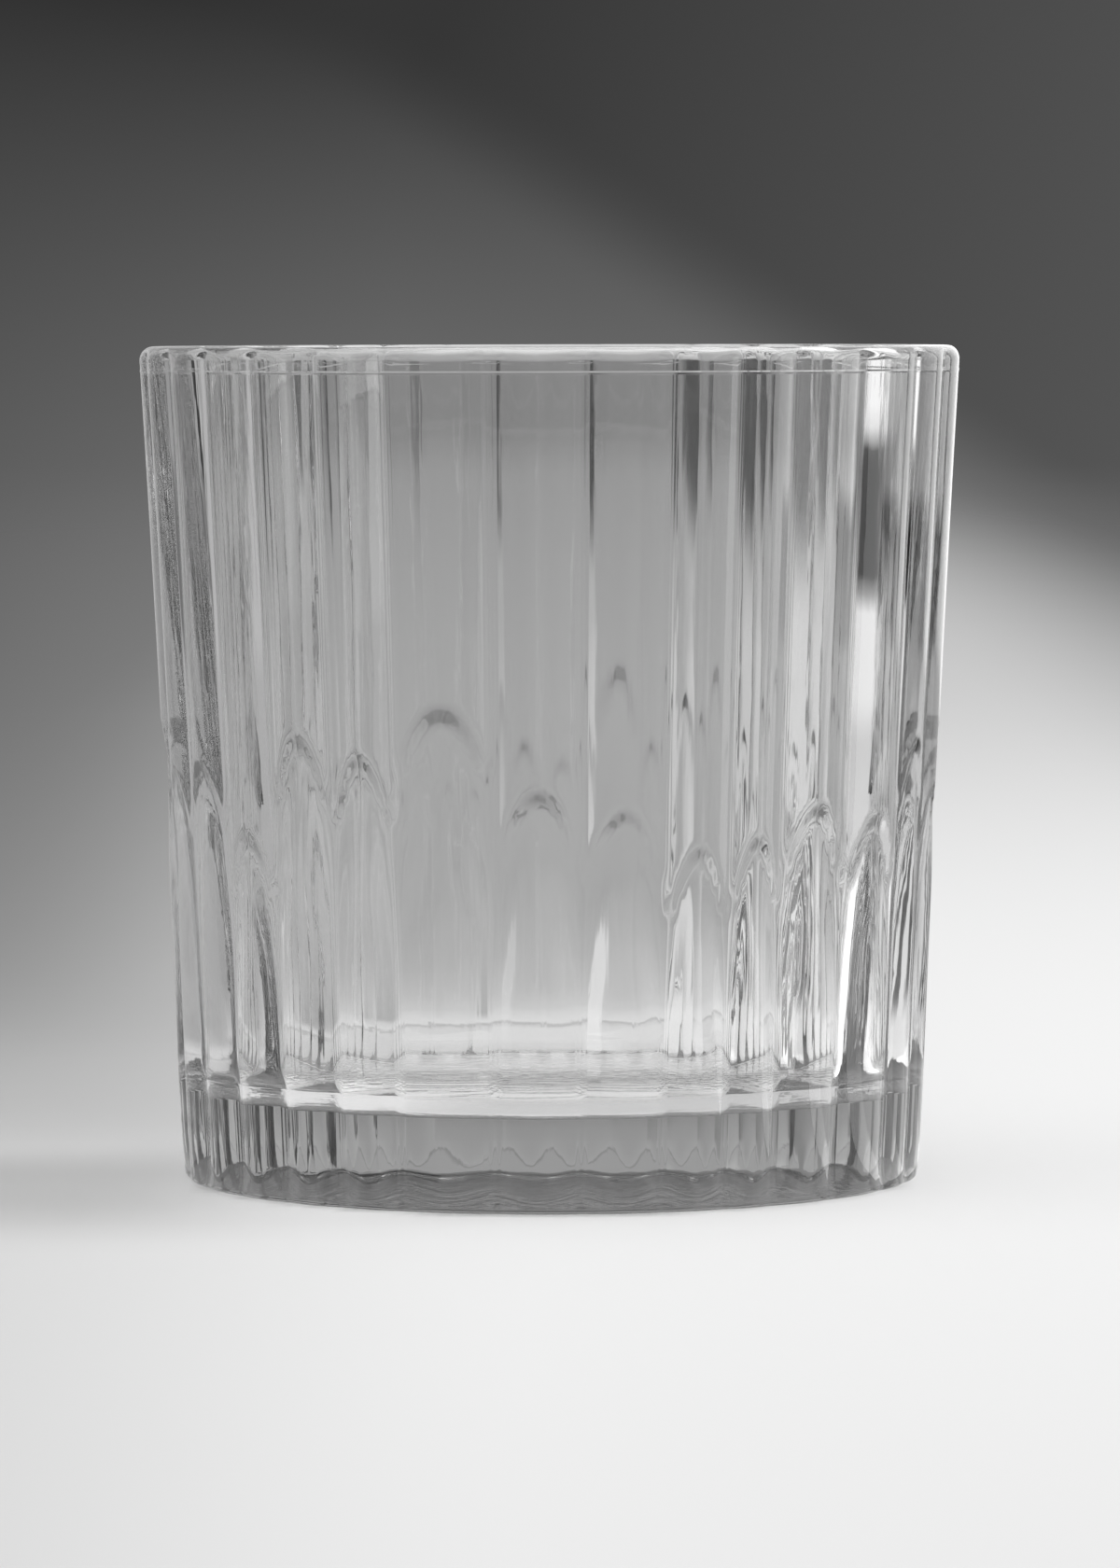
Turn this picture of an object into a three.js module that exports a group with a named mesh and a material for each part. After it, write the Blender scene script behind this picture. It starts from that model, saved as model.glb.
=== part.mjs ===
import * as THREE from 'three';

// A rocks glass: one tapered piece of clear pressed glass with convex flutes around the outside,
// a smooth inside, a thick base and a rounded lip. Sizes are in millimetres, +Z is up, the foot
// stands on z = 0 and the glass turns about the Z axis. -Y is the side that faces the viewer.

// Outside
const HEIGHT = 90;
const RIM_DIAMETER = 88.9;
const FOOT_DIAMETER = 80.2;
const WALL_SAG = 0.25;
const FOOT_TUCK = 0.25;
const FOOT_TUCK_HEIGHT = 10;
const HEEL_RADIUS = 0.7;

// Flutes: widths in degrees around half the glass, as its two mould halves are alike
const FLUTE_WIDTHS = [
  12.1, 11.5, 11.1, 10.5, 15.0, 12.7, 12.4, 10.2, 8.7, 12.6, 14.8, 10.7, 12.6, 12.5, 12.6,
];
const FIRST_VALLEY_ANGLE = -68.5;
const FLUTE_DEPTH = 0.85;
const FLUTE_DEPTH_AT_HEEL = 0.3;
const FLUTE_RUN_OUT = 3;

// Inside
const WALL_AT_RIM = 3.9;
const WALL_AT_FLOOR = 5.7;
const FLOOR_THICKNESS = 9.5;
const INSIDE_CORNER_RADIUS = 5;

// Lip
const LIP_OUTER_RADIUS = 1.5;
const LIP_INNER_RADIUS = 1.5;
const LIP_LAND = 0.8;

// Underside
const BEARING_RING_WIDTH = 7;
const UNDERSIDE_HOLLOW = 1;

// Fineness of the curves
const COLUMNS_PER_FLUTE = 4;
const ARC_STEPS = 4;
const HOLLOW_STEPS = 3;
const TUCK_STEPS = 3;
const WALL_STEPS = 6;

const GLASS_COLOUR = 0xe4ecec;

const RIGHT_ANGLE = Math.PI / 2;

// Crest radius of the outside at a height: a taper that sags in a little halfway up, and tucks in at the foot
function crestRadius(z) {
  const foot = FOOT_DIAMETER / 2;
  const rim = RIM_DIAMETER / 2;
  const up = z / HEIGHT;
  const tuck = FOOT_TUCK * Math.max(0, 1 - z / FOOT_TUCK_HEIGHT) ** 2;
  return foot + (rim - foot) * up - 4 * WALL_SAG * up * (1 - up) - tuck;
}

// Radius of the smooth inside at a height
const insideAtFloor = crestRadius(FLOOR_THICKNESS) - WALL_AT_FLOOR;
const insideAtRim = crestRadius(HEIGHT) - WALL_AT_RIM;
const insideSlope = (insideAtRim - insideAtFloor) / (HEIGHT - FLOOR_THICKNESS);
function insideRadius(z) {
  return insideAtFloor + insideSlope * (z - FLOOR_THICKNESS);
}

// Levels where the sections meet
const baseTop = FLOOR_THICKNESS + INSIDE_CORNER_RADIUS;
const wallTop = HEIGHT - Math.max(LIP_OUTER_RADIUS, LIP_INNER_RADIUS) - LIP_LAND;

// Columns around the glass: an angle from the viewer's side, and a dip from 0 on a crest to 1 in a valley
function fluteColumns() {
  const turn = [...FLUTE_WIDTHS, ...FLUTE_WIDTHS];
  const toDegrees = 360 / turn.reduce((sum, width) => sum + width, 0);
  const columns = [];
  let valley = FIRST_VALLEY_ANGLE;
  for (const width of turn) {
    for (let k = 0; k < COLUMNS_PER_FLUTE; k += 1) {
      const across = k / COLUMNS_PER_FLUTE;
      const angle = THREE.MathUtils.degToRad(valley + width * toDegrees * across);
      columns.push({ angle, dip: (2 * across - 1) ** 2 });
    }
    valley += width * toDegrees;
  }
  return columns;
}
const columns = fluteColumns();

// A point of a profile: crest radius, height, and how deep the flutes' valleys are there
function at(r, z, depth = 0) {
  return { r, z, depth };
}

// Points along an arc of a profile, from one angle to another; depth goes from the first to the second
function arc(centreR, centreZ, radius, from, to, depths = [0, 0]) {
  const points = [];
  for (let k = 0; k <= ARC_STEPS; k += 1) {
    const t = k / ARC_STEPS;
    const angle = from + (to - from) * t;
    const depth = depths[0] + (depths[1] - depths[0]) * t;
    points.push(at(centreR + radius * Math.cos(angle), centreZ + radius * Math.sin(angle), depth));
  }
  return points;
}

// Points up the outside between two heights, the first one left out
function upOutside(from, to, steps) {
  const points = [];
  for (let k = 1; k <= steps; k += 1) {
    const z = from + (to - from) * (k / steps);
    points.push(at(crestRadius(z), z, FLUTE_DEPTH));
  }
  return points;
}

// A profile swept around the axis through every column. A closed profile makes a ring; an open one
// runs from the axis to the axis and makes a solid. Its points run up the outside and down the inside.
function sweep(profile, closed) {
  const positions = [];
  const rows = [];
  for (const point of profile) {
    const row = [];
    for (const column of columns) {
      if (point.r > 0 || row.length === 0) {
        const r = point.r > 0 ? point.r - point.depth * column.dip : 0;
        positions.push(r * Math.sin(column.angle), -r * Math.cos(column.angle), point.z);
      }
      row.push(positions.length / 3 - 1);
    }
    rows.push(row);
  }
  if (closed) {
    rows.push(rows[0]);
  }
  const index = [];
  for (let i = 0; i + 1 < rows.length; i += 1) {
    for (let j = 0; j < columns.length; j += 1) {
      const next = (j + 1) % columns.length;
      const low = rows[i];
      const high = rows[i + 1];
      if (low[j] !== low[next]) {
        index.push(low[j], low[next], high[next]);
      }
      if (high[j] !== high[next]) {
        index.push(low[j], high[next], high[j]);
      }
    }
  }
  const geometry = new THREE.BufferGeometry();
  geometry.setAttribute('position', new THREE.Float32BufferAttribute(positions, 3));
  geometry.setIndex(index);
  geometry.computeVertexNormals();
  return geometry;
}

// Thick foot: hollowed underside, bearing ring, heel, and the cup's floor with its rounded corner
function baseGeometry() {
  const bearingOuter = crestRadius(0) - HEEL_RADIUS;
  const bearingInner = bearingOuter - BEARING_RING_WIDTH;
  const profile = [];
  for (let k = 0; k < HOLLOW_STEPS; k += 1) {
    const t = k / HOLLOW_STEPS;
    profile.push(at(bearingInner * t, UNDERSIDE_HOLLOW * (1 - t * t)));
  }
  profile.push(at(bearingInner, 0));

  const heelDepths = [FLUTE_DEPTH_AT_HEEL, (FLUTE_DEPTH_AT_HEEL + FLUTE_DEPTH) / 2];
  profile.push(...arc(bearingOuter, HEEL_RADIUS, HEEL_RADIUS, -RIGHT_ANGLE, 0, heelDepths));
  const runOut = HEEL_RADIUS + FLUTE_RUN_OUT;
  profile.push(...upOutside(HEEL_RADIUS, runOut, 1));
  profile.push(...upOutside(runOut, baseTop, TUCK_STEPS));
  profile.push(at(insideRadius(baseTop), baseTop));

  const lean = Math.atan(insideSlope);
  const cornerR = insideRadius(baseTop) - INSIDE_CORNER_RADIUS / Math.cos(lean);
  profile.push(...arc(cornerR, baseTop, INSIDE_CORNER_RADIUS, -lean, -RIGHT_ANGLE));
  profile.push(at(0, FLOOR_THICKNESS));
  return sweep(profile, false);
}

// Tapered wall: fluted outside, smooth inside
function wallGeometry() {
  return sweep([
    at(crestRadius(baseTop), baseTop, FLUTE_DEPTH),
    ...upOutside(baseTop, wallTop, WALL_STEPS),
    at(insideRadius(wallTop), wallTop),
    at(insideRadius(baseTop), baseTop),
  ], true);
}

// Rounded lip: the flutes run up to its foot and fade over its outer arc, so its crown is smooth
function rimGeometry() {
  const outerZ = HEIGHT - LIP_OUTER_RADIUS;
  const innerZ = HEIGHT - LIP_INNER_RADIUS;
  const outerCentre = crestRadius(outerZ) - LIP_OUTER_RADIUS;
  const innerCentre = insideRadius(innerZ) + LIP_INNER_RADIUS;
  const topMiddle = (outerCentre + innerCentre) / 2;
  const outerR = Math.max(outerCentre, topMiddle);
  const innerR = Math.min(innerCentre, topMiddle);
  const lipDepths = [FLUTE_DEPTH, 0];
  return sweep([
    at(crestRadius(wallTop), wallTop, FLUTE_DEPTH),
    ...arc(outerR, outerZ, LIP_OUTER_RADIUS, 0, RIGHT_ANGLE, lipDepths),
    ...arc(innerR, innerZ, LIP_INNER_RADIUS, RIGHT_ANGLE, 2 * RIGHT_ANGLE),
    at(insideRadius(wallTop), wallTop),
  ], true);
}

function section(name, geometry) {
  const material = new THREE.MeshStandardMaterial({ color: GLASS_COLOUR, roughness: 0.05, metalness: 0 });
  material.name = 'glass';
  const mesh = new THREE.Mesh(geometry, material);
  mesh.name = name;
  return mesh;
}

const glass = new THREE.Group();
glass.name = 'rocks_glass';
glass.add(section('base', baseGeometry()));
glass.add(section('fluted_wall', wallGeometry()));
glass.add(section('rim', rimGeometry()));

export default glass;
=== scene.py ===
import math

import bpy
import numpy as np
from mathutils import Matrix, Vector


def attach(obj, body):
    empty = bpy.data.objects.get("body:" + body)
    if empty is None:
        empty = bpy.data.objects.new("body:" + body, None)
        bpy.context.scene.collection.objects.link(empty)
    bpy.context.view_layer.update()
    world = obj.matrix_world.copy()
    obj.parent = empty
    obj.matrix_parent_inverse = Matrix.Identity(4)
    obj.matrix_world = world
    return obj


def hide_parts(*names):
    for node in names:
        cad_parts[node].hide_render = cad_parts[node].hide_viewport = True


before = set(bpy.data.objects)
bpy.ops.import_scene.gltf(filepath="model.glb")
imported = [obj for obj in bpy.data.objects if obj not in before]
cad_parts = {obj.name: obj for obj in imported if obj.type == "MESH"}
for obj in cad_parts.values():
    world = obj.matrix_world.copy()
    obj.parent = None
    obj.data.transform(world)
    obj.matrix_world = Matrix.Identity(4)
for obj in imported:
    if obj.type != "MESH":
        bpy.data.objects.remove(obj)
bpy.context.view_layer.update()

MM = 0.001
QUARTER = math.pi / 2

# The glass, in millimetres and degrees
HEIGHT = 90.0
RIM_DIAMETER = 88.9
FOOT_DIAMETER = 80.2
WALL_SAG = 0.25
HEEL_RADIUS = 0.7
FOOT_TUCK = 0.25
FOOT_TUCK_HEIGHT = 10.0
FLUTE_WIDTHS = (12.1, 11.5, 11.1, 10.5, 15.0, 12.7, 12.4, 10.2, 8.7, 12.6, 14.8, 10.7, 12.6, 12.5, 12.6)
FIRST_VALLEY_ANGLE = -68.5
FLUTE_DEPTH = 0.85
FLUTE_DEPTH_AT_HEEL = 0.3
FLUTE_RUN_OUT = 3.0
WALL_AT_RIM = 3.9
WALL_AT_FLOOR = 5.7
FLOOR_THICKNESS = 9.5
INSIDE_CORNER_RADIUS = 5.0
LIP_OUTER_RADIUS = 1.5
LIP_INNER_RADIUS = 1.5
PARTING_LINE_LEVEL = 87.35
PARTING_LINE_HEIGHT = 0.05
PARTING_LINE_WIDTH = 0.4
BEARING_RING_WIDTH = 7.0
UNDERSIDE_HOLLOW = 1.0

# The arch in each flute: the level of its crown, one for each of the widths above, and its form
ARCH_LEVELS = (47, 40, 50.5, 48.5, 53.5, 45, 43, 39, 40, 43, 41.5, 49, 44, 50, 46)
ARCH_DROP = 9.0
ARCH_RECESS = 0.5
ARCH_EDGE = 2.8
ARCH_FADE = 20.0

# Fineness of the surface: the outside has stretches from a height to a height, with a number of rows each
COLUMNS_PER_FLUTE = 12
HOLLOW_ROWS = 22
BEARING_ROWS = 4
HEEL_ROWS = 9
OUTSIDE_ROWS = ((HEEL_RADIUS, 22, 14), (22, 55, 83), (55, 87, 18), (87, 87.7, 15), (87.7, 88.5, 5))
LIP_ROWS = 13
INSIDE_ROWS = 56
CORNER_ROWS = 12
FLOOR_ROWS = 14
UNDERSIDE_ROWS = HOLLOW_ROWS - 1 + BEARING_ROWS
LEAST_WALL = 1.0

# The finish of the glass, with relief heights in metres
GLASS_IOR = 1.52
GLASS_GREY = 0.5
GLASS_DENSITY = 23.0
GLASS_SHADOW = 0.95
GLASS_BOUNCES = 28
UNDERSIDE_ROUGHNESS = 0.15
STREAK_SCALE = 450
STREAK_STRETCH = 0.03
STREAK_HEIGHT = 0.00003
STIPPLE_SCALE = 350
STIPPLE_HEIGHT = 0.0006
RELIEF_DETAIL = 3

# The camera, in metres and degrees
CAMERA_DISTANCE = 0.850
CAMERA_HEIGHT = 0.093
CAMERA_PITCH = 3.40
CAMERA_YAW = -0.065
CAMERA_ROLL = -0.114
CAMERA_LENS = 180.16
SENSOR = 36.0

# The floor, in metres
PAPER_HALF_WIDTH = 2.5
PAPER_HALF_LENGTH = 5.0
PAPER_LEVEL = -0.0002
PAPER_COLUMNS = 201
PAPER_ROWS = 241
PAPER_ROUGHNESS = 0.7
PAPER_TONE = 0.83
# painted shade: the floor's tone far behind the glass, and the distance over which it falls to it
PAPER_SHADED_FAR_TONE = 0.25
PAPER_SHADE_FALL = 0.085
PAPER_FADE_START = 1.3
PAPER_FADE_END = 4.3

# The glowing cards of painted light that the glass shows, in metres and degrees
CARD_START = 0.042
CARD_REACH = 0.50
CARD_SIDE_SHARE = 0.30
CARD_HEIGHT = 0.6
CARD_LEVEL = 0.0004
CARD_LEFT_END = -90
CARD_RIGHT_END = 110
CARD_COLUMNS = 401
CARD_LYING_ROWS = 91
CARD_STANDING_ROWS = 141
CARD_NEAR = 0.1
SIGHT_DROP = 0.178
SIGHT_SPREAD = 1.536
GLOWING_WHITE_END_TONE = 2.2
SKY_TONE = 0.8
FOOT_CARD_RADIUS = 0.0405
FOOT_CARD_LEVEL = -0.0001
FOOT_CARD_COLUMNS = 73
FOOT_CARD_ROWS = 28

# The lamps: name, place and aim in metres, width, height and power
LAMPS = (
    ("overhead_softbox", (0.0, -0.2, 1.1), (0, 0, 0), 1.0, 1.0, 3.5),
    ("right_softbox", (0.85, 0.25, 0.36), (0, 0, 0.1), 0.4, 0.6, 5.0),
    ("left_softbox", (-0.95, -0.1, 0.45), (0, 0, 0.1), 0.8, 0.8, 0.7),
)


def soft_step(value, start, end):
    """0 before start, 1 after end, and a smooth cubic rise between them."""
    t = np.clip((value - start) / (end - start), 0, 1)
    return t * t * (3 - 2 * t)


def soft_band(value, start, full, fading, end):
    """1 between full and fading, 0 before start and after end, and smooth cubic sides."""
    return soft_step(value, start, full) * (1 - soft_step(value, fading, end))


def by_stops(value, *stops):
    """Straight lines from stop to stop, each of them a value and what it gives."""
    values, given = zip(*stops)
    return np.interp(value, values, given)


def mixed(tone, other, share):
    """A tone that turns into another by a share."""
    return tone + (other - tone) * share


def crest_radius(z):
    """Radius over the flutes' crests: a taper from the foot to the rim, less a parabola that is deepest
    halfway up, and less a square that draws the foot in."""
    foot = FOOT_DIAMETER / 2
    rim = RIM_DIAMETER / 2
    up = z / HEIGHT
    tuck = FOOT_TUCK * np.maximum(0, 1 - z / FOOT_TUCK_HEIGHT) ** 2
    return foot + (rim - foot) * up - 4 * WALL_SAG * up * (1 - up) - tuck


def inside_radius(z):
    """Radius of the smooth inside: a straight taper from the floor's level to the rim."""
    low = crest_radius(FLOOR_THICKNESS) - WALL_AT_FLOOR
    high = crest_radius(HEIGHT) - WALL_AT_RIM
    return low + (high - low) * (z - FLOOR_THICKNESS) / (HEIGHT - FLOOR_THICKNESS)


def flute_depth(z):
    """Depth of the flutes' valleys: it grows along a smooth cubic from the heel to its full value."""
    return FLUTE_DEPTH_AT_HEEL + (FLUTE_DEPTH - FLUTE_DEPTH_AT_HEEL) * soft_step(z, 0, FLUTE_RUN_OUT)


def parting_line(z):
    """Height of the mould's parting line: a ridge around the glass with smooth cubic sides."""
    away = np.abs(z - PARTING_LINE_LEVEL)
    return PARTING_LINE_HEIGHT * (1 - soft_step(away, 0, PARTING_LINE_WIDTH / 2))


def arc(centre_r, centre_z, radius, start, end, rows):
    """Points of a circle about a centre, from one angle to another in equal steps."""
    angle = np.linspace(start, end, rows)
    return centre_r + radius * np.cos(angle), centre_z + radius * np.sin(angle)


def glass_profile():
    """The glass cut through its axis: out along the underside, up, over the lip and down the inside.

    The underside's hollow is a parabola, and the heel, the lip and the inside corner are arcs. Each row has
    a crest radius, a height and the depth of the flutes' valleys there."""
    parts = []

    def add(radius, height, depth=0.0):
        parts.append(np.broadcast_arrays(*np.atleast_1d(radius, height, depth)))

    bearing_outer = crest_radius(0) - HEEL_RADIUS
    bearing_inner = bearing_outer - BEARING_RING_WIDTH
    r = np.linspace(0, bearing_inner, HOLLOW_ROWS)
    add(r, UNDERSIDE_HOLLOW * (1 - (r / bearing_inner) ** 2))
    add(np.linspace(bearing_inner, bearing_outer, BEARING_ROWS + 2)[1:-1], 0.0)

    r, z = arc(bearing_outer, HEEL_RADIUS, HEEL_RADIUS, -QUARTER, 0, HEEL_ROWS)
    add(r, z, flute_depth(z))
    z = np.unique(np.concatenate([np.linspace(*part) for part in OUTSIDE_ROWS]))[1:-1]
    add(crest_radius(z) + parting_line(z), z, flute_depth(z))

    outer_z = HEIGHT - LIP_OUTER_RADIUS
    inner_z = HEIGHT - LIP_INNER_RADIUS
    outer_r = crest_radius(outer_z) - LIP_OUTER_RADIUS
    inner_r = inside_radius(inner_z) + LIP_INNER_RADIUS
    r, z = arc(outer_r, outer_z, LIP_OUTER_RADIUS, 0, QUARTER, LIP_ROWS)
    add(r, z, FLUTE_DEPTH * (1 - soft_step(z, outer_z, HEIGHT)))
    add(*arc(inner_r, inner_z, LIP_INNER_RADIUS, QUARTER, 2 * QUARTER, LIP_ROWS))

    corner_z = FLOOR_THICKNESS + INSIDE_CORNER_RADIUS
    z = np.linspace(inner_z, corner_z, INSIDE_ROWS)[1:-1]
    add(inside_radius(z), z)
    lean = math.atan(inside_radius(1.0) - inside_radius(0.0))
    corner_r = inside_radius(corner_z) - INSIDE_CORNER_RADIUS / math.cos(lean)
    add(*arc(corner_r, corner_z, INSIDE_CORNER_RADIUS, -lean, -QUARTER, CORNER_ROWS))
    add(np.linspace(corner_r, 0, FLOOR_ROWS)[1:], FLOOR_THICKNESS)
    return [np.concatenate(column) for column in zip(*parts)]


def flute_columns():
    """Angles around the glass and the dip at each: 0 on a flute's crest, growing as the square to 1 in its
    valley. The two halves of the glass are alike."""
    widths = np.radians(np.tile(FLUTE_WIDTHS, 2))
    valleys = math.radians(FIRST_VALLEY_ANGLE) + np.cumsum(widths) - widths
    across = np.arange(COLUMNS_PER_FLUTE) / COLUMNS_PER_FLUTE
    angle = (valleys[:, None] + widths[:, None] * across).ravel()
    dip = np.tile((2 * across - 1) ** 2, len(widths))
    return angle, dip


def arch_recess(z, dip):
    """How far the outside is drawn in under the arch that each flute carries at its own level.

    The arch drops as the dip from the flute's middle to its valleys. Under it the recess comes in along a
    smooth cubic edge, goes out again lower down, and fades towards the valleys as the dip squared."""
    level = np.repeat(np.tile(ARCH_LEVELS, 2), COLUMNS_PER_FLUTE)
    below = level - ARCH_DROP * dip - z
    return ARCH_RECESS * soft_band(below, 0, ARCH_EDGE, ARCH_EDGE, ARCH_FADE) * (1 - dip ** 2)


def new_object(name, vertices, faces):
    """A smooth mesh object at the origin."""
    mesh = bpy.data.meshes.new(name)
    mesh.from_pydata(vertices.tolist(), [], faces)
    mesh.update()
    mesh.polygons.foreach_set("use_smooth", np.ones(len(mesh.polygons), dtype=bool))
    piece = bpy.data.objects.new(name, mesh)
    bpy.context.scene.collection.objects.link(piece)
    return piece


def mark_points(piece, name, values):
    """A named number at every point of a piece."""
    mark = piece.data.attributes.new(name, "FLOAT", "POINT")
    mark.data.foreach_set("value", values.astype(np.float32))


def make_glass():
    """The profile swept around the axis, with a pole at each end.

    At every row and column the radius is the crest's, less the depth times the dip, and outside less the
    arch's recess."""
    r, z, depth = glass_profile()
    angle, dip = flute_columns()
    crest = r[1:-1, None]
    level = z[1:-1, None]
    outside = crest - inside_radius(level) > LEAST_WALL
    radius = crest - depth[1:-1, None] * dip - outside * arch_recess(level, dip)
    x = radius * np.sin(angle)
    y = -radius * np.cos(angle)
    rings = np.stack([x, y, np.broadcast_to(level, x.shape)], axis=-1).reshape(-1, 3)
    vertices = np.concatenate([[[0, 0, z[0]]], rings, [[0, 0, z[-1]]]]) * MM

    rows, columns = radius.shape
    number = 1 + np.arange(rows * columns).reshape(rows, columns)
    after = np.roll(number, -1, axis=1)
    quads = np.stack([number[:-1], after[:-1], after[1:], number[1:]], axis=-1).reshape(-1, 4)
    first = np.zeros(columns, int)
    last = np.full(columns, len(vertices) - 1)
    low = np.stack([first, after[0], number[0]], axis=-1)
    high = np.stack([number[-1], after[-1], last], axis=-1)
    body = new_object("glass_body", vertices, quads.tolist() + low.tolist() + high.tolist())
    underneath = np.repeat(np.arange(rows) < UNDERSIDE_ROWS, columns)
    mark_points(body, "underside", np.concatenate([[1], underneath, [0]]))
    return body


def toned_sheet(name, x, y, z, tone):
    """A stage sheet through a grid of points, which carries a tone at each of them."""
    vertices = np.stack([x, y, z], axis=-1).reshape(-1, 3)
    number = np.arange(x.size).reshape(x.shape)
    corners = (number[:-1, :-1], number[:-1, 1:], number[1:, 1:], number[1:, :-1])
    sheet = new_object(name, vertices, np.stack(corners, axis=-1).reshape(-1, 4).tolist())
    mark_points(sheet, "tone", tone.ravel())
    return sheet


def new_material(name):
    """A new material with one shader and an output, and its node tree."""
    material = bpy.data.materials.new(name)
    material.use_nodes = True
    return material, material.node_tree


def node(tree, kind, **values):
    """A new node with its settings."""
    made = tree.nodes.new(kind)
    for name, value in values.items():
        setattr(made, name, value)
    return made


def axes(tree, kind):
    """The parts along X, Y and Z of a place or a direction."""
    place = node(tree, "ShaderNodeTexCoord")
    split = node(tree, "ShaderNodeSeparateXYZ")
    tree.links.new(place.outputs[kind], split.inputs[0])
    return split.outputs


def point_mark(tree, name):
    """The number that a piece's points carry under a name."""
    return node(tree, "ShaderNodeAttribute", attribute_name=name).outputs["Fac"]


def mix_shaders(tree, share, first, second):
    """A shader that turns into another by a share, shown by the material."""
    mix = node(tree, "ShaderNodeMixShader")
    tree.links.new(share, mix.inputs[0])
    tree.links.new(first, mix.inputs[1])
    tree.links.new(second, mix.inputs[2])
    tree.links.new(mix.outputs[0], tree.nodes["Material Output"].inputs["Surface"])


def ramp(tree, source, start, end, low=0.0, high=1.0, smooth=False):
    """A value that goes from low to high while its source goes from start to end."""
    made = node(tree, "ShaderNodeMapRange", interpolation_type="SMOOTHSTEP" if smooth else "LINEAR")
    made.inputs["From Min"].default_value = start
    made.inputs["From Max"].default_value = end
    made.inputs["To Min"].default_value = low
    made.inputs["To Max"].default_value = high
    tree.links.new(source, made.inputs["Value"])
    return made.outputs[0]


def blend(tree, share, first, second):
    """A value between two others, by a share."""
    made = node(tree, "ShaderNodeMix", data_type="FLOAT")
    tree.links.new(share, made.inputs["Factor"])
    for socket, value in (("A", first), ("B", second)):
        if isinstance(value, float):
            made.inputs[socket].default_value = value
        else:
            tree.links.new(value, made.inputs[socket])
    return made.outputs["Result"]


def slanted(tree, direction, slope):
    """The direction's height plus a slope times its way to the right."""
    made = node(tree, "ShaderNodeMath", operation="MULTIPLY_ADD")
    tree.links.new(direction["X"], made.inputs[0])
    made.inputs[1].default_value = slope
    tree.links.new(direction["Z"], made.inputs[2])
    return made.outputs[0]


def glass_material():
    """Clear pressed glass: polished, but stippled and matt underneath, and lamps shine through it."""
    material, tree = new_material("clear_glass")
    shader = tree.nodes["Principled BSDF"]
    shader.inputs["Base Color"].default_value = (1, 1, 1, 1)
    shader.inputs["IOR"].default_value = GLASS_IOR
    shader.inputs["Transmission Weight"].default_value = 1.0
    matt = point_mark(tree, "underside")
    rough = node(tree, "ShaderNodeMath", operation="MULTIPLY")
    rough.inputs[1].default_value = UNDERSIDE_ROUGHNESS
    tree.links.new(matt, rough.inputs[0])
    tree.links.new(rough.outputs[0], shader.inputs["Roughness"])
    add_relief(tree, shader, matt)

    path = node(tree, "ShaderNodeLightPath")
    clear = node(tree, "ShaderNodeBsdfTransparent")
    clear.inputs["Color"].default_value = (GLASS_SHADOW, GLASS_SHADOW, GLASS_SHADOW, 1)
    mix_shaders(tree, path.outputs["Is Shadow Ray"], shader.outputs[0], clear.outputs[0])
    body = node(tree, "ShaderNodeVolumeAbsorption")
    body.inputs["Color"].default_value = (GLASS_GREY, GLASS_GREY, GLASS_GREY, 1)
    body.inputs["Density"].default_value = GLASS_DENSITY
    tree.links.new(body.outputs[0], tree.nodes["Material Output"].inputs["Volume"])
    return material


def add_relief(tree, shader, matt):
    """Fine relief as bumps: upright drag lines from the mould, and a coarse stipple where it is matt."""
    place = node(tree, "ShaderNodeTexCoord")
    stretch = node(tree, "ShaderNodeMapping")
    stretch.inputs["Scale"].default_value = (1, 1, STREAK_STRETCH)
    tree.links.new(place.outputs["Object"], stretch.inputs["Vector"])
    streaks = noise_bump(tree, stretch.outputs[0], STREAK_SCALE, STREAK_HEIGHT)
    stipple = noise_bump(tree, place.outputs["Object"], STIPPLE_SCALE, STIPPLE_HEIGHT)
    tree.links.new(matt, stipple.inputs["Strength"])
    tree.links.new(streaks.outputs[0], stipple.inputs["Normal"])
    tree.links.new(stipple.outputs[0], shader.inputs["Normal"])


def noise_bump(tree, place, scale, height):
    """A bump whose height is a noise of the given scale."""
    noise = node(tree, "ShaderNodeTexNoise")
    noise.inputs["Scale"].default_value = scale
    noise.inputs["Detail"].default_value = RELIEF_DETAIL
    tree.links.new(place, noise.inputs["Vector"])
    bump = node(tree, "ShaderNodeBump")
    bump.inputs["Distance"].default_value = height
    tree.links.new(noise.outputs["Fac"], bump.inputs["Height"])
    return bump


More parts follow.
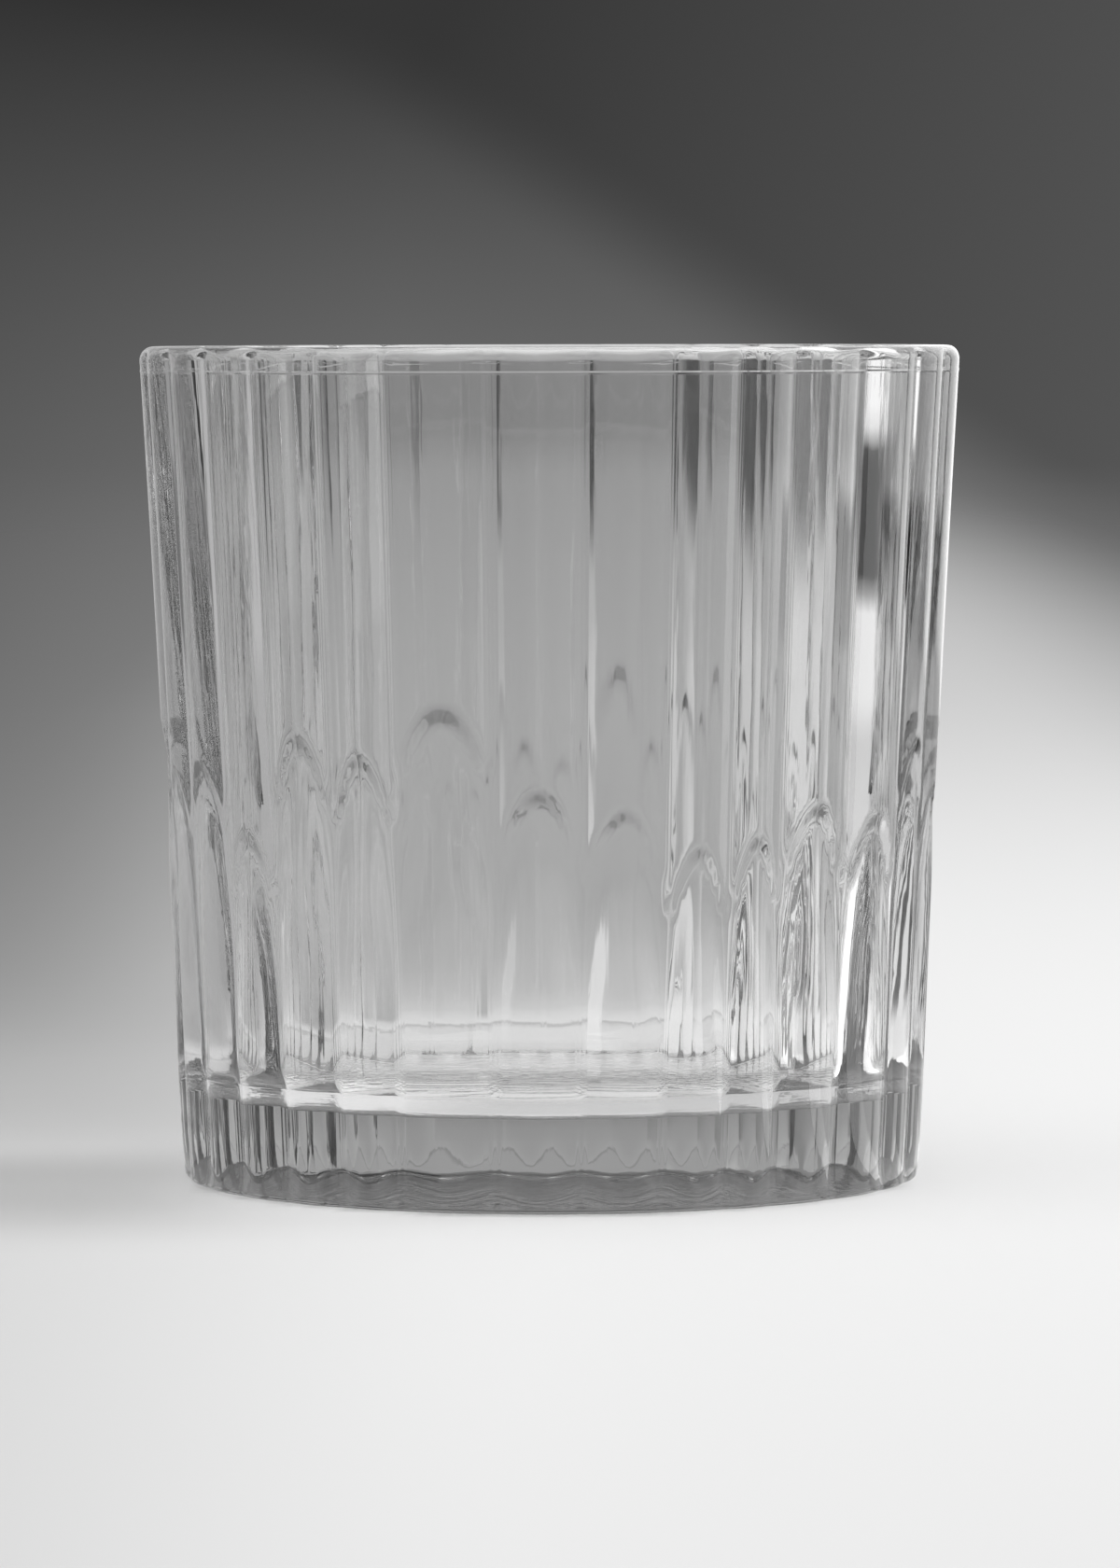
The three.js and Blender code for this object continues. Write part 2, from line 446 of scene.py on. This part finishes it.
def floor_tone(x, y):
    """Tone of the floor, with painted light and shade: a painted shade deepens with the distance behind the
    glass, except along a painted strip of light.

    The strip lies to the right. To the left the floor has painted shade beside the glass, with a painted
    shadow, and further back its painted shade fans out from below the camera. A ring of painted contact
    shadow lies under the glass."""
    # painted shade: the floor darkens with the distance behind the glass, down to its far tone
    shade_fall = (np.maximum(y, 0) / PAPER_SHADE_FALL) ** 1.5
    tone = PAPER_SHADED_FAR_TONE + (PAPER_TONE - PAPER_SHADED_FAR_TONE) / (1 + shade_fall)
    # painted light: a pale strip of light on the floor to the right of the glass
    strip = soft_band(x, -0.075 - 0.045 * np.clip(y, 0, 1), 0.06, 0.10, 0.25)
    tone = mixed(tone, PAPER_TONE, strip)
    # painted shade: the floor is darker to the left of the glass, in front of it and beside it
    tone = tone * (1 - 0.20 * soft_step(-x, 0.0, 0.07) * (1 - soft_step(y, 0.03, 0.15)))
    shadow = soft_step(-x, 0.02, 0.05) * soft_band(y, -0.07, -0.02, 0.0, 0.035)
    tone = tone * (1 - 0.3 * shadow)
    # painted light and shade: further back the floor is darker towards the left, fanning out from below the
    # camera
    shade_fan = np.clip((x / (np.maximum(y, -0.5) + CAMERA_DISTANCE) + 0.069) / 0.017, -1, 1.2)
    tone = tone * (1 + (0.16 * shade_fan - 0.07) * (1 - soft_step(x, -0.04, 0)) * soft_step(y, 0.05, 0.3))
    # painted contact shadow: a darker ring under the foot of the glass
    return tone * (1 - 0.4 * soft_band(np.hypot(x, y), 0.026, 0.032, 0.036, 0.039))


def make_floor():
    """A flat sheet of paper just under the foot, on a grid whose lines are closest near the glass: they stand
    at the cubes of equal steps. Far behind the glass it fades into the backdrop."""
    across = np.linspace(-1, 1, PAPER_COLUMNS)
    along = np.linspace(-1, 1, PAPER_ROWS)
    x, y = np.meshgrid(across ** 3 * PAPER_HALF_WIDTH, along ** 3 * PAPER_HALF_LENGTH)
    floor = toned_sheet("floor", x, y, np.full(x.shape, PAPER_LEVEL), floor_tone(x, y))
    material, tree = new_material("pale_floor")
    shader = tree.nodes["Principled BSDF"]
    shader.inputs["Roughness"].default_value = PAPER_ROUGHNESS
    shader.inputs["Specular IOR Level"].default_value = 0.0
    tree.links.new(point_mark(tree, "tone"), shader.inputs["Base Color"])
    fade = ramp(tree, axes(tree, "Object")["Y"], PAPER_FADE_START, PAPER_FADE_END, smooth=True)
    clear = node(tree, "ShaderNodeBsdfTransparent")
    mix_shaders(tree, fade, shader.outputs[0], clear.outputs[0])
    floor.data.materials.append(material)


def level_on_glass(distance, z):
    """Height on the glass that looks at a place on the card: the place's height plus a drop that grows with
    its distance, divided by a spread that grows with it too."""
    return (z + SIGHT_DROP * distance) / (1 + SIGHT_SPREAD * distance)


def middle_tone(angle, distance, level):
    """Glow behind the glass: near it pale with painted caustic light and a ragged dark line, and further off
    a painted shade that darkens with the level.
    """
    # painted caustic light near the glass, broken by a ragged dark line; painted shade further off
    ragged = 0.003 * (np.sin(angle * 0.9 + 3 * np.sin(angle * 0.23)) + np.sin(angle * 2.3 + 1) * 0.6)
    near = by_stops(distance + ragged, (0.067, 0.74), (0.073, 0.5), (0.078, 0.8), (CARD_NEAR, 0.74))
    far = by_stops(level, (0.014, 0.78), (0.020, 0.66), (0.027, 0.46), (0.033, 0.38), (0.046, 0.38),
                   (0.058, 0.39), (0.066, 0.37), (0.074, 0.34), (0.083, 0.30), (0.088, 0.20))
    return np.where(distance < CARD_NEAR, near, far)


def add_left(tone, angle, distance, level):
    """The card's left: grey that darkens with the level, paler at its end, with a slanted dark bar and two
    dark patches high up."""
    grey = by_stops(level, (0.02, 0.46), (0.07, 0.43), (0.083, 0.34))
    tone = mixed(tone, grey, soft_step(-angle, 10, 26) * soft_step(distance, 0.08, 0.12))
    tone = mixed(tone, 0.52, soft_step(-angle, 62, 70) * soft_step(level, 0.05, 0.056))
    off_bar = np.abs(level - by_stops(-angle, (40, 0.073), (60, 0.06)))
    bar = soft_band(-angle, 38, 42, 58, 64) * (1 - soft_step(off_bar, 0.006, 0.01))
    gloom = soft_band(-angle, 27, 31, 37, 40) * soft_step(level, 0.074, 0.08)
    tongue = soft_band(-angle, 53, 56, 63, 66) * soft_step(level, 0.069, 0.074)
    return tone * (1 - 0.65 * bar) * (1 - 0.8 * gloom) * (1 - 0.95 * tongue)


def add_right(tone, angle, distance, level, z):
    """The card's right: lighter, with a dark bar across it that sinks to the right, and light again above it.

    At the side there are a pale panel below the bar and light on the floor, and dark stripes lie low down."""
    grey = by_stops(level, (0.014, 0.92), (0.033, 0.7), (0.045, 0.6),
                    (0.060, 0.6), (0.066, 0.48), (0.083, 0.42))
    tone = mixed(tone, grey, soft_step(angle, 9, 22))
    sill = by_stops(angle, (8, 0.077), (12, 0.074), (16, 0.071), (22, 0.067),
                    (34, 0.063), (45, 0.061), (56, 0.058))
    edge = by_stops(angle, (40, 0.012), (56, 0.003))
    above = soft_step(level, 0.0745, 0.0785) * soft_step(angle, 42, 54)
    bar = soft_step(level, sill, sill + edge) * (1 - above)
    tone = tone * (1 - bar * (0.55 * soft_step(angle, 6, 11) + 0.43 * soft_step(angle, 10, 15)))
    tone = mixed(tone, by_stops(angle, (42, 0.3), (50, 0.7), (60, 1.0)), above)
    tone = mixed(tone, 0.85, soft_step(angle, 56, 59) * soft_band(level, 0.044, 0.050, 0.058, 0.061))
    low = (1 - soft_step(z, 0.01, 0.016)) * soft_step(distance, 0.12, 0.15)
    stripes = soft_step(np.sin(angle * 0.95 + 2 * np.sin(angle * 0.21)), -0.5, 0.1)
    tone = tone * (1 - 0.92 * low * stripes * soft_band(angle, 20, 25, 54, 60))
    return mixed(tone, 1.3, soft_step(angle, 60, 64) * (1 - soft_step(level, 0.026, 0.034)))


def painted_refraction_glow(angle, distance, z):
    """Painted light that the glass shows through it: the card's glow at an angle around the glass, a distance
    from its axis and a height.

    The card's glow is painted by the level on the glass that looks there: its middle, then its left and its
    right. It ends in a glowing white at the far right, and turns into a painted pale sky where it stands
    steeply above the glass."""
    level = level_on_glass(distance, z)
    tone = middle_tone(angle, distance, level)
    tone = add_left(tone, angle, distance, level)
    tone = add_right(tone, angle, distance, level, z)
    # painted light: the card's far right end glows brighter than white
    tone = mixed(tone, GLOWING_WHITE_END_TONE, soft_step(angle, 96, 99))
    # painted sky light: where the card stands steeply above the glass it glows pale
    return mixed(tone, SKY_TONE, soft_step((z - 0.05) / distance, 0.45, 0.8))


def painted_reflection_glow(angle, distance, z):
    """Painted reflection that the outside mirrors: as the card low down, and higher up lighter to the right
    than to the left, then a black stretch under a white one, and a glowing white end."""
    level = level_on_glass(distance, z)
    # painted highlights: higher up the reflection glows brighter than white towards the right
    light = by_stops(angle, (-45, 0.35), (-30, 0.55), (0, 0.55), (8, 1.4), (56, 1.4), (62, 0))
    light = np.where(angle > 62, GLOWING_WHITE_END_TONE * soft_step(level, 0.0715, 0.0745), light)
    light = light * (1 + 0.1 * soft_step(level, 0.068, 0.075))
    tone = mixed(painted_refraction_glow(angle, distance, z), light, soft_step(level, 0.0585, 0.0635))
    return mixed(tone, GLOWING_WHITE_END_TONE, soft_step(angle, 92, 95))


def make_scoop(name, tone_of, mirrored):
    """A curved glowing card behind the glass, along the floor and then upright, whose glow is painted light
    that the glass shows.

    The grid is the angle around the glass by the way along the card. Its reach is that of an ellipse, shorter
    to both sides. Rows stand at equal ratios along the floor, and at the squares of equal steps going up."""
    angle = np.linspace(CARD_LEFT_END, CARD_RIGHT_END, CARD_COLUMNS)
    bearing = np.radians(angle)
    reach = CARD_REACH / np.sqrt((np.sin(bearing) / CARD_SIDE_SHARE) ** 2 + np.cos(bearing) ** 2)
    along = np.linspace(0, 1, CARD_LYING_ROWS)[:, None]
    up = np.linspace(0, 1, CARD_STANDING_ROWS)[:, None]
    lying = CARD_START * (reach / CARD_START) ** along
    standing = np.broadcast_to(reach, (len(up), len(angle)))
    distance = np.concatenate([lying, standing])
    x = distance * np.sin(bearing)
    y = distance * np.cos(bearing)
    z = CARD_LEVEL + np.concatenate([np.zeros(along.shape), up ** 2 * CARD_HEIGHT])
    z = np.broadcast_to(z, x.shape)
    light_card(name, x, y, z, tone_of(angle, distance, z), mirrored)


def make_foot_card():
    """A glowing disc under the foot, painted light that the glass shows through its underside, with radius by
    angle around the axis, palest in the middle and to the left.
    """
    angle = np.radians(np.linspace(0, 360, FOOT_CARD_COLUMNS))
    radius = np.linspace(0, FOOT_CARD_RADIUS, FOOT_CARD_ROWS)[:, None]
    x = radius * np.sin(angle)
    y = radius * np.cos(angle)
    # painted light under the foot: the glow is palest in the middle and to the left
    tone = by_stops(radius, (0.020, 1.05), (0.028, 0.7)) * (1 + 0.4 * soft_step(-x, 0.008, 0.02))
    light_card("painted_light_under_foot", x, y, np.full(x.shape, FOOT_CARD_LEVEL), tone, False)


def light_card(name, x, y, z, tone, mirrored):
    """A sheet that glows by its tone, and that shows either in the glass's outside or through the glass."""
    card = toned_sheet(name, x, y, z, tone)
    material, tree = new_material(name + "_tone")
    glow = node(tree, "ShaderNodeEmission")
    tree.links.new(point_mark(tree, "tone"), glow.inputs["Strength"])
    tree.links.new(glow.outputs[0], tree.nodes["Material Output"].inputs["Surface"])
    card.data.materials.append(material)
    card.visible_camera = False
    card.visible_diffuse = False
    card.visible_shadow = False
    card.visible_glossy = mirrored
    card.visible_transmission = not mirrored


def make_lamp(name, place, aim, width, height, power):
    """A softbox at a place, turned to what it lights, that the camera doesn't see."""
    data = bpy.data.lights.new(name, "AREA")
    data.shape = "RECTANGLE"
    data.size = width
    data.size_y = height
    data.energy = power
    lamp = bpy.data.objects.new(name, data)
    bpy.context.scene.collection.objects.link(lamp)
    turn = (Vector(aim) - Vector(place)).to_track_quat("-Z", "Y")
    lamp.matrix_world = Matrix.Translation(place) @ turn.to_matrix().to_4x4()
    lamp.visible_camera = False


def make_world():
    """The backdrop by direction: behind the glass it is palest low down, with a slanted shadow across its
    upper right. In front it is lighter to the right, and overhead pale all around."""
    world = bpy.data.worlds.new("studio")
    bpy.context.scene.world = world
    world.use_nodes = True
    tree = world.node_tree
    direction = axes(tree, "Generated")
    lit_left = ramp(tree, direction["Z"], -0.02, 0.04, 0.115, 0.034)
    lit_right = ramp(tree, direction["Z"], -0.02, 0.04, 0.165, 0.032)
    lit = blend(tree, ramp(tree, direction["X"], -0.07, -0.02), lit_left, lit_right)
    shaded = ramp(tree, slanted(tree, direction, -2.0), 0.064, -0.162, 0.037, 0.09)
    shadow_edge = ramp(tree, slanted(tree, direction, 0.67), 0.008, 0.027, smooth=True)
    back = blend(tree, shadow_edge, lit, shaded)
    front = blend(tree, ramp(tree, direction["X"], -0.3, 0.3, smooth=True), 0.2, 0.5)
    around = blend(tree, ramp(tree, direction["Y"], 0.3, -0.7, smooth=True), back, front)
    tone = blend(tree, ramp(tree, direction["Z"], 0.1, 0.9, smooth=True), around, SKY_TONE)
    tree.links.new(tone, tree.nodes["Background"].inputs["Color"])


def make_camera():
    """The camera in front of the glass, at the photo's height, pitch and framing."""
    data = bpy.data.cameras.new("camera")
    data.lens = CAMERA_LENS
    data.sensor_width = SENSOR
    camera = bpy.data.objects.new("camera", data)
    bpy.context.scene.collection.objects.link(camera)
    turn = (Matrix.Rotation(math.radians(CAMERA_YAW), 4, "Z")
            @ Matrix.Rotation(math.radians(90 - CAMERA_PITCH), 4, "X")
            @ Matrix.Rotation(math.radians(CAMERA_ROLL), 4, "Z"))
    camera.matrix_world = Matrix.Translation((0, -CAMERA_DISTANCE, CAMERA_HEIGHT)) @ turn
    bpy.context.scene.camera = camera


make_camera()
glass = make_glass()
glass.data.materials.append(glass_material())
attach(glass, "root")
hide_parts("base", "fluted_wall", "rim")
make_floor()
make_scoop("glowing_refraction_card", painted_refraction_glow, False)
make_scoop("glowing_reflection_card", painted_reflection_glow, True)
make_foot_card()
make_world()
for lamp in LAMPS:
    make_lamp(*lamp)
bpy.context.scene.view_settings.view_transform = "Standard"
bpy.context.scene.cycles.max_bounces = GLASS_BOUNCES
bpy.context.scene.cycles.glossy_bounces = GLASS_BOUNCES
bpy.context.scene.cycles.transmission_bounces = GLASS_BOUNCES
